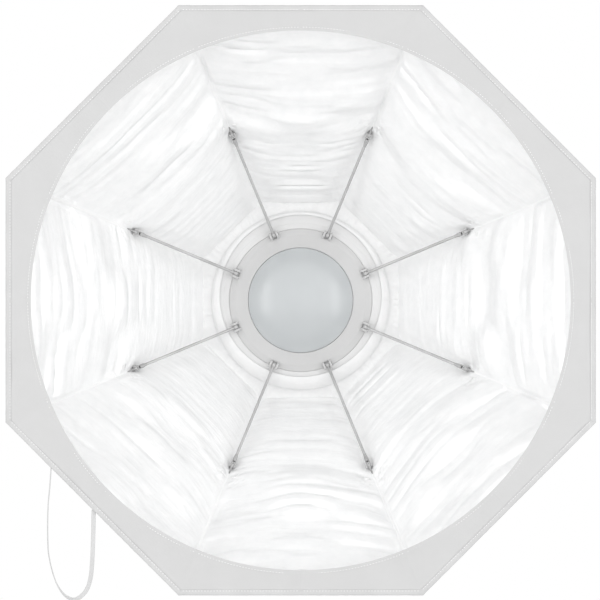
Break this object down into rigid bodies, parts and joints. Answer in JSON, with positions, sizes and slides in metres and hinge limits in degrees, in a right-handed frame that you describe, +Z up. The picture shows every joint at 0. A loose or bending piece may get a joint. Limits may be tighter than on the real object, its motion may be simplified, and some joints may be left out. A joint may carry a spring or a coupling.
{
  "type": "octagonal umbrella softbox",
  "caption": "Octagonal folding softbox with a silver inside, bowed ribs on a hub, and a sliding collar whose struts spread the fabric.",
  "frame": {"origin": "centre of the flat rear seat of the hub, on the box's axis", "axes": "+Y out of the rear towards the lamp, -Y out of the front opening, +Z up"},
  "size_m": [0.6514, 0.2983, 0.6584],
  "materials": {
    "canopy_fabric": "woven polyester, pale grey outside, crinkled silver coating inside",
    "ribbon": "flat woven ribbon",
    "hub_plastic": "fine moulded texture, pale grey",
    "collar_plastic": "satin moulded, pale grey",
    "button_plastic": "satin moulded, grey",
    "dome_frosted": "frosted translucent dome with a gloss skin",
    "spring_steel": "drawn wire, bright",
    "screw_steel": "zinc plated",
    "insert_metal": "cast, bead blasted"
  },
  "bodies": {
    "hub": {"mount_insert": "insert_metal", "hub_housing": "hub_plastic", "front_bezel": "hub_plastic", "rib_hinge_wire": "spring_steel", "insert_screw_1": "screw_steel", "insert_screw_2": "screw_steel", "insert_screw_3": "screw_steel"},
    "collar": {"sliding_collar": "collar_plastic"},
    "dome": {"protective_dome": "dome_frosted"},
    "button_right": {"release_button_right": "button_plastic"},
    "button_left": {"release_button_left": "button_plastic"},
    "rib_1": {"rib_1": "spring_steel", "strut_rivet_1": "spring_steel"},
    "strut_1": {"strut_1": "spring_steel"},
    "flap_left_1": {"flap_left_1": "canopy_fabric"},
    "flap_right_1": {"flap_right_1": "canopy_fabric"},
    "gore_panel_1": {"gore_panel_1": "canopy_fabric"},
    "rib_2": {"rib_2": "spring_steel", "strut_rivet_2": "spring_steel"},
    "strut_2": {"strut_2": "spring_steel"},
    "flap_left_2": {"flap_left_2": "canopy_fabric"},
    "flap_right_2": {"flap_right_2": "canopy_fabric"},
    "gore_panel_2": {"gore_panel_2": "canopy_fabric"},
    "rib_3": {"rib_3": "spring_steel", "strut_rivet_3": "spring_steel"},
    "strut_3": {"strut_3": "spring_steel"},
    "flap_left_3": {"flap_left_3": "canopy_fabric"},
    "flap_right_3": {"flap_right_3": "canopy_fabric"},
    "gore_panel_3": {"gore_panel_3": "canopy_fabric"},
    "rib_4": {"rib_4": "spring_steel", "strut_rivet_4": "spring_steel"},
    "strut_4": {"strut_4": "spring_steel"},
    "flap_left_4": {"flap_left_4": "canopy_fabric"},
    "flap_right_4": {"flap_right_4": "canopy_fabric"},
    "gore_panel_4": {"gore_panel_4": "canopy_fabric"},
    "rib_5": {"rib_5": "spring_steel", "strut_rivet_5": "spring_steel"},
    "strut_5": {"strut_5": "spring_steel"},
    "flap_left_5": {"flap_left_5": "canopy_fabric", "strap_loop": "ribbon"},
    "flap_right_5": {"flap_right_5": "canopy_fabric"},
    "gore_panel_5": {"gore_panel_5": "canopy_fabric"},
    "rib_6": {"rib_6": "spring_steel", "strut_rivet_6": "spring_steel"},
    "strut_6": {"strut_6": "spring_steel"},
    "flap_left_6": {"flap_left_6": "canopy_fabric"},
    "flap_right_6": {"flap_right_6": "canopy_fabric"},
    "gore_panel_6": {"gore_panel_6": "canopy_fabric"},
    "rib_7": {"rib_7": "spring_steel", "strut_rivet_7": "spring_steel"},
    "strut_7": {"strut_7": "spring_steel"},
    "flap_left_7": {"flap_left_7": "canopy_fabric"},
    "flap_right_7": {"flap_right_7": "canopy_fabric"},
    "gore_panel_7": {"gore_panel_7": "canopy_fabric"},
    "rib_8": {"rib_8": "spring_steel", "strut_rivet_8": "spring_steel"},
    "strut_8": {"strut_8": "spring_steel"},
    "flap_left_8": {"flap_left_8": "canopy_fabric"},
    "flap_right_8": {"flap_right_8": "canopy_fabric"},
    "gore_panel_8": {"gore_panel_8": "canopy_fabric"}
  },
  "joints": [
    {"name": "collar_slide", "type": "slide", "parent": "hub", "child": "collar", "axis": [0, -1, 0], "range_m": [0, 0.25149]},
    {"name": "dome_pull", "type": "slide", "parent": "hub", "child": "dome", "axis": [0, -1, 0], "range_m": [0, 0.04]},
    {"name": "button_right_press", "type": "slide", "parent": "hub", "child": "button_right", "axis": [-1, 0, 0], "range_m": [0, 0.004], "stiffness_N_per_m": 400},
    {"name": "button_left_press", "type": "slide", "parent": "hub", "child": "button_left", "axis": [1, 0, 0], "range_m": [0, 0.004], "stiffness_N_per_m": 400},
    {"name": "rib_1_hinge", "type": "hinge", "parent": "hub", "child": "rib_1", "pos_m": [0.09885, -0.02, 0.04095], "axis": [-0.3827, 0, 0.9239], "range_deg": [-43.13, 0]},
    {"name": "strut_1_pivot", "type": "hinge", "parent": "rib_1", "child": "strut_1", "pos_m": [0.19314, -0.11904, 0.08], "axis": [-0.3827, 0, 0.9239], "range_deg": [0, 149.59]},
    {"name": "flap_left_1_fold", "type": "hinge", "parent": "rib_1", "child": "flap_left_1", "pos_m": [0.09885, -0.02, 0.04095], "axis": [0.6269, -0.7346, 0.2597], "range_deg": [-66.46, 0], "deforming": ["flap_left_1"]},
    {"name": "flap_right_1_fold", "type": "hinge", "parent": "rib_1", "child": "flap_right_1", "pos_m": [0.09885, -0.02, 0.04095], "axis": [0.6269, -0.7346, 0.2597], "range_deg": [0, 66.46], "deforming": ["flap_right_1"]},
    {"name": "gore_panel_1_fold", "type": "hinge", "parent": "hub", "child": "gore_panel_1", "pos_m": [0.0699, -0.02, 0.0699], "axis": [-0.7071, 0, 0.7071], "range_deg": [-20.13, 0], "deforming": ["gore_panel_1"]},
    {"name": "rib_2_hinge", "type": "hinge", "parent": "hub", "child": "rib_2", "pos_m": [0.04095, -0.02, 0.09885], "axis": [-0.9239, 0, 0.3827], "range_deg": [-43.13, 0]},
    {"name": "strut_2_pivot", "type": "hinge", "parent": "rib_2", "child": "strut_2", "pos_m": [0.08, -0.11904, 0.19314], "axis": [-0.9239, 0, 0.3827], "range_deg": [0, 149.59]},
    {"name": "flap_left_2_fold", "type": "hinge", "parent": "rib_2", "child": "flap_left_2", "pos_m": [0.04095, -0.02, 0.09885], "axis": [0.2597, -0.7346, 0.6269], "range_deg": [-66.46, 0], "deforming": ["flap_left_2"]},
    {"name": "flap_right_2_fold", "type": "hinge", "parent": "rib_2", "child": "flap_right_2", "pos_m": [0.04095, -0.02, 0.09885], "axis": [0.2597, -0.7346, 0.6269], "range_deg": [0, 66.46], "deforming": ["flap_right_2"]},
    {"name": "gore_panel_2_fold", "type": "hinge", "parent": "hub", "child": "gore_panel_2", "pos_m": [0, -0.02, 0.09885], "axis": [-1, 0, 0], "range_deg": [-20.13, 0], "deforming": ["gore_panel_2"]},
    {"name": "rib_3_hinge", "type": "hinge", "parent": "hub", "child": "rib_3", "pos_m": [-0.04095, -0.02, 0.09885], "axis": [-0.9239, 0, -0.3827], "range_deg": [-43.13, 0]},
    {"name": "strut_3_pivot", "type": "hinge", "parent": "rib_3", "child": "strut_3", "pos_m": [-0.08, -0.11904, 0.19314], "axis": [-0.9239, 0, -0.3827], "range_deg": [0, 149.59]},
    {"name": "flap_left_3_fold", "type": "hinge", "parent": "rib_3", "child": "flap_left_3", "pos_m": [-0.04095, -0.02, 0.09885], "axis": [-0.2597, -0.7346, 0.6269], "range_deg": [-66.46, 0], "deforming": ["flap_left_3"]},
    {"name": "flap_right_3_fold", "type": "hinge", "parent": "rib_3", "child": "flap_right_3", "pos_m": [-0.04095, -0.02, 0.09885], "axis": [-0.2597, -0.7346, 0.6269], "range_deg": [0, 66.46], "deforming": ["flap_right_3"]},
    {"name": "gore_panel_3_fold", "type": "hinge", "parent": "hub", "child": "gore_panel_3", "pos_m": [-0.0699, -0.02, 0.0699], "axis": [-0.7071, 0, -0.7071], "range_deg": [-20.13, 0], "deforming": ["gore_panel_3"]},
    {"name": "rib_4_hinge", "type": "hinge", "parent": "hub", "child": "rib_4", "pos_m": [-0.09885, -0.02, 0.04095], "axis": [-0.3827, 0, -0.9239], "range_deg": [-43.13, 0]},
    {"name": "strut_4_pivot", "type": "hinge", "parent": "rib_4", "child": "strut_4", "pos_m": [-0.19314, -0.11904, 0.08], "axis": [-0.3827, 0, -0.9239], "range_deg": [0, 149.59]},
    {"name": "flap_left_4_fold", "type": "hinge", "parent": "rib_4", "child": "flap_left_4", "pos_m": [-0.09885, -0.02, 0.04095], "axis": [-0.6269, -0.7346, 0.2597], "range_deg": [-66.46, 0], "deforming": ["flap_left_4"]},
    {"name": "flap_right_4_fold", "type": "hinge", "parent": "rib_4", "child": "flap_right_4", "pos_m": [-0.09885, -0.02, 0.04095], "axis": [-0.6269, -0.7346, 0.2597], "range_deg": [0, 66.46], "deforming": ["flap_right_4"]},
    {"name": "gore_panel_4_fold", "type": "hinge", "parent": "hub", "child": "gore_panel_4", "pos_m": [-0.09885, -0.02, 0], "axis": [0, 0, -1], "range_deg": [-20.13, 0], "deforming": ["gore_panel_4"]},
    {"name": "rib_5_hinge", "type": "hinge", "parent": "hub", "child": "rib_5", "pos_m": [-0.09885, -0.02, -0.04095], "axis": [0.3827, 0, -0.9239], "range_deg": [-43.13, 0]},
    {"name": "strut_5_pivot", "type": "hinge", "parent": "rib_5", "child": "strut_5", "pos_m": [-0.19314, -0.11904, -0.08], "axis": [0.3827, 0, -0.9239], "range_deg": [0, 149.59]},
    {"name": "flap_left_5_fold", "type": "hinge", "parent": "rib_5", "child": "flap_left_5", "pos_m": [-0.09885, -0.02, -0.04095], "axis": [-0.6269, -0.7346, -0.2597], "range_deg": [-66.46, 0], "deforming": ["flap_left_5"]},
    {"name": "flap_right_5_fold", "type": "hinge", "parent": "rib_5", "child": "flap_right_5", "pos_m": [-0.09885, -0.02, -0.04095], "axis": [-0.6269, -0.7346, -0.2597], "range_deg": [0, 66.46], "deforming": ["flap_right_5"]},
    {"name": "gore_panel_5_fold", "type": "hinge", "parent": "hub", "child": "gore_panel_5", "pos_m": [-0.0699, -0.02, -0.0699], "axis": [0.7071, 0, -0.7071], "range_deg": [-20.13, 0], "deforming": ["gore_panel_5"]},
    {"name": "rib_6_hinge", "type": "hinge", "parent": "hub", "child": "rib_6", "pos_m": [-0.04095, -0.02, -0.09885], "axis": [0.9239, 0, -0.3827], "range_deg": [-43.13, 0]},
    {"name": "strut_6_pivot", "type": "hinge", "parent": "rib_6", "child": "strut_6", "pos_m": [-0.08, -0.11904, -0.19314], "axis": [0.9239, 0, -0.3827], "range_deg": [0, 149.59]},
    {"name": "flap_left_6_fold", "type": "hinge", "parent": "rib_6", "child": "flap_left_6", "pos_m": [-0.04095, -0.02, -0.09885], "axis": [-0.2597, -0.7346, -0.6269], "range_deg": [-66.46, 0], "deforming": ["flap_left_6"]},
    {"name": "flap_right_6_fold", "type": "hinge", "parent": "rib_6", "child": "flap_right_6", "pos_m": [-0.04095, -0.02, -0.09885], "axis": [-0.2597, -0.7346, -0.6269], "range_deg": [0, 66.46], "deforming": ["flap_right_6"]},
    {"name": "gore_panel_6_fold", "type": "hinge", "parent": "hub", "child": "gore_panel_6", "pos_m": [0, -0.02, -0.09885], "axis": [1, 0, 0], "range_deg": [-20.13, 0], "deforming": ["gore_panel_6"]},
    {"name": "rib_7_hinge", "type": "hinge", "parent": "hub", "child": "rib_7", "pos_m": [0.04095, -0.02, -0.09885], "axis": [0.9239, 0, 0.3827], "range_deg": [-43.13, 0]},
    {"name": "strut_7_pivot", "type": "hinge", "parent": "rib_7", "child": "strut_7", "pos_m": [0.08, -0.11904, -0.19314], "axis": [0.9239, 0, 0.3827], "range_deg": [0, 149.59]},
    {"name": "flap_left_7_fold", "type": "hinge", "parent": "rib_7", "child": "flap_left_7", "pos_m": [0.04095, -0.02, -0.09885], "axis": [0.2597, -0.7346, -0.6269], "range_deg": [-66.46, 0], "deforming": ["flap_left_7"]},
    {"name": "flap_right_7_fold", "type": "hinge", "parent": "rib_7", "child": "flap_right_7", "pos_m": [0.04095, -0.02, -0.09885], "axis": [0.2597, -0.7346, -0.6269], "range_deg": [0, 66.46], "deforming": ["flap_right_7"]},
    {"name": "gore_panel_7_fold", "type": "hinge", "parent": "hub", "child": "gore_panel_7", "pos_m": [0.0699, -0.02, -0.0699], "axis": [0.7071, 0, 0.7071], "range_deg": [-20.13, 0], "deforming": ["gore_panel_7"]},
    {"name": "rib_8_hinge", "type": "hinge", "parent": "hub", "child": "rib_8", "pos_m": [0.09885, -0.02, -0.04095], "axis": [0.3827, 0, 0.9239], "range_deg": [-43.13, 0]},
    {"name": "strut_8_pivot", "type": "hinge", "parent": "rib_8", "child": "strut_8", "pos_m": [0.19314, -0.11904, -0.08], "axis": [0.3827, 0, 0.9239], "range_deg": [0, 149.59]},
    {"name": "flap_left_8_fold", "type": "hinge", "parent": "rib_8", "child": "flap_left_8", "pos_m": [0.09885, -0.02, -0.04095], "axis": [0.6269, -0.7346, -0.2597], "range_deg": [-66.46, 0], "deforming": ["flap_left_8"]},
    {"name": "flap_right_8_fold", "type": "hinge", "parent": "rib_8", "child": "flap_right_8", "pos_m": [0.09885, -0.02, -0.04095], "axis": [0.6269, -0.7346, -0.2597], "range_deg": [0, 66.46], "deforming": ["flap_right_8"]},
    {"name": "gore_panel_8_fold", "type": "hinge", "parent": "hub", "child": "gore_panel_8", "pos_m": [0.09885, -0.02, 0], "axis": [0, 0, 1], "range_deg": [-20.13, 0], "deforming": ["gore_panel_8"]}
  ],
  "couplings": [
    {"joint": "rib_1_hinge", "follows": "collar_slide", "rad_per_m": -2.9653},
    {"joint": "strut_1_pivot", "follows": "collar_slide", "rad_per_m": 10.354},
    {"joint": "flap_left_1_fold", "follows": "collar_slide", "rad_per_m": -4.5848},
    {"joint": "flap_right_1_fold", "follows": "collar_slide", "rad_per_m": 4.5848},
    {"joint": "gore_panel_1_fold", "follows": "collar_slide", "rad_per_m": -1.3695},
    {"joint": "rib_2_hinge", "follows": "collar_slide", "rad_per_m": -2.9653},
    {"joint": "strut_2_pivot", "follows": "collar_slide", "rad_per_m": 10.354},
    {"joint": "flap_left_2_fold", "follows": "collar_slide", "rad_per_m": -4.5848},
    {"joint": "flap_right_2_fold", "follows": "collar_slide", "rad_per_m": 4.5848},
    {"joint": "gore_panel_2_fold", "follows": "collar_slide", "rad_per_m": -1.3695},
    {"joint": "rib_3_hinge", "follows": "collar_slide", "rad_per_m": -2.9653},
    {"joint": "strut_3_pivot", "follows": "collar_slide", "rad_per_m": 10.354},
    {"joint": "flap_left_3_fold", "follows": "collar_slide", "rad_per_m": -4.5848},
    {"joint": "flap_right_3_fold", "follows": "collar_slide", "rad_per_m": 4.5848},
    {"joint": "gore_panel_3_fold", "follows": "collar_slide", "rad_per_m": -1.3695},
    {"joint": "rib_4_hinge", "follows": "collar_slide", "rad_per_m": -2.9653},
    {"joint": "strut_4_pivot", "follows": "collar_slide", "rad_per_m": 10.354},
    {"joint": "flap_left_4_fold", "follows": "collar_slide", "rad_per_m": -4.5848},
    {"joint": "flap_right_4_fold", "follows": "collar_slide", "rad_per_m": 4.5848},
    {"joint": "gore_panel_4_fold", "follows": "collar_slide", "rad_per_m": -1.3695},
    {"joint": "rib_5_hinge", "follows": "collar_slide", "rad_per_m": -2.9653},
    {"joint": "strut_5_pivot", "follows": "collar_slide", "rad_per_m": 10.354},
    {"joint": "flap_left_5_fold", "follows": "collar_slide", "rad_per_m": -4.5848},
    {"joint": "flap_right_5_fold", "follows": "collar_slide", "rad_per_m": 4.5848},
    {"joint": "gore_panel_5_fold", "follows": "collar_slide", "rad_per_m": -1.3695},
    {"joint": "rib_6_hinge", "follows": "collar_slide", "rad_per_m": -2.9653},
    {"joint": "strut_6_pivot", "follows": "collar_slide", "rad_per_m": 10.354},
    {"joint": "flap_left_6_fold", "follows": "collar_slide", "rad_per_m": -4.5848},
    {"joint": "flap_right_6_fold", "follows": "collar_slide", "rad_per_m": 4.5848},
    {"joint": "gore_panel_6_fold", "follows": "collar_slide", "rad_per_m": -1.3695},
    {"joint": "rib_7_hinge", "follows": "collar_slide", "rad_per_m": -2.9653},
    {"joint": "strut_7_pivot", "follows": "collar_slide", "rad_per_m": 10.354},
    {"joint": "flap_left_7_fold", "follows": "collar_slide", "rad_per_m": -4.5848},
    {"joint": "flap_right_7_fold", "follows": "collar_slide", "rad_per_m": 4.5848},
    {"joint": "gore_panel_7_fold", "follows": "collar_slide", "rad_per_m": -1.3695},
    {"joint": "rib_8_hinge", "follows": "collar_slide", "rad_per_m": -2.9653},
    {"joint": "strut_8_pivot", "follows": "collar_slide", "rad_per_m": 10.354},
    {"joint": "flap_left_8_fold", "follows": "collar_slide", "rad_per_m": -4.5848},
    {"joint": "flap_right_8_fold", "follows": "collar_slide", "rad_per_m": 4.5848},
    {"joint": "gore_panel_8_fold", "follows": "collar_slide", "rad_per_m": -1.3695}
  ]
}
